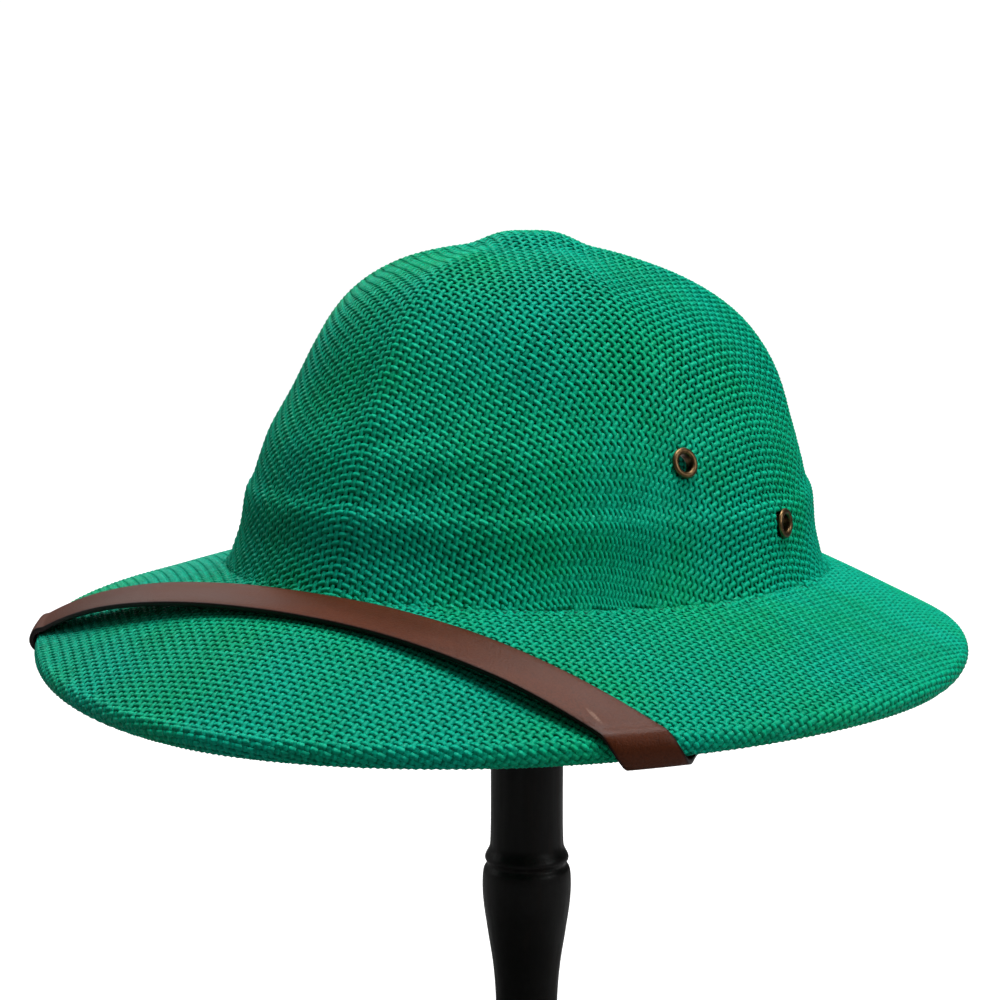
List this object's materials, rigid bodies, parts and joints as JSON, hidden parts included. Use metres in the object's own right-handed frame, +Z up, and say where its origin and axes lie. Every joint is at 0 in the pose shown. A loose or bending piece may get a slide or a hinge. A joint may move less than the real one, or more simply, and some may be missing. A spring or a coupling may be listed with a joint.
{
  "type": "pith helmet on a stand",
  "caption": "Pith helmet of open woven straw with a rolled brim, brass vent eyelets and a leather chin strap, resting on a turned wooden stand.",
  "frame": {"origin": "centre of the underside of the stand's base, on the surface that it stands on", "axes": "+Z up, -Y towards the helmet's front, +X to the wearer's left"},
  "size_m": [0.2982, 0.3082, 0.3053],
  "materials": {
    "woven_straw": "dyed green twisted paper straw, plain weave, satin",
    "antique_brass": "antiqued, worn bright on the rim",
    "strap_leather": "brown, smooth and lightly waxed",
    "dark_wood": "near-black stain, satin"
  },
  "bodies": {
    "root": {"helmet_shell": "woven_straw", "eyelet_left_front": "antique_brass", "eyelet_left_rear": "antique_brass", "eyelet_right_front": "antique_brass", "eyelet_right_rear": "antique_brass", "chin_strap": "strap_leather", "strap_stud_left": "antique_brass", "strap_stud_right": "antique_brass", "stand_base": "dark_wood", "stand_post": "dark_wood", "stand_rest": "dark_wood"}
  },
  "joints": []
}
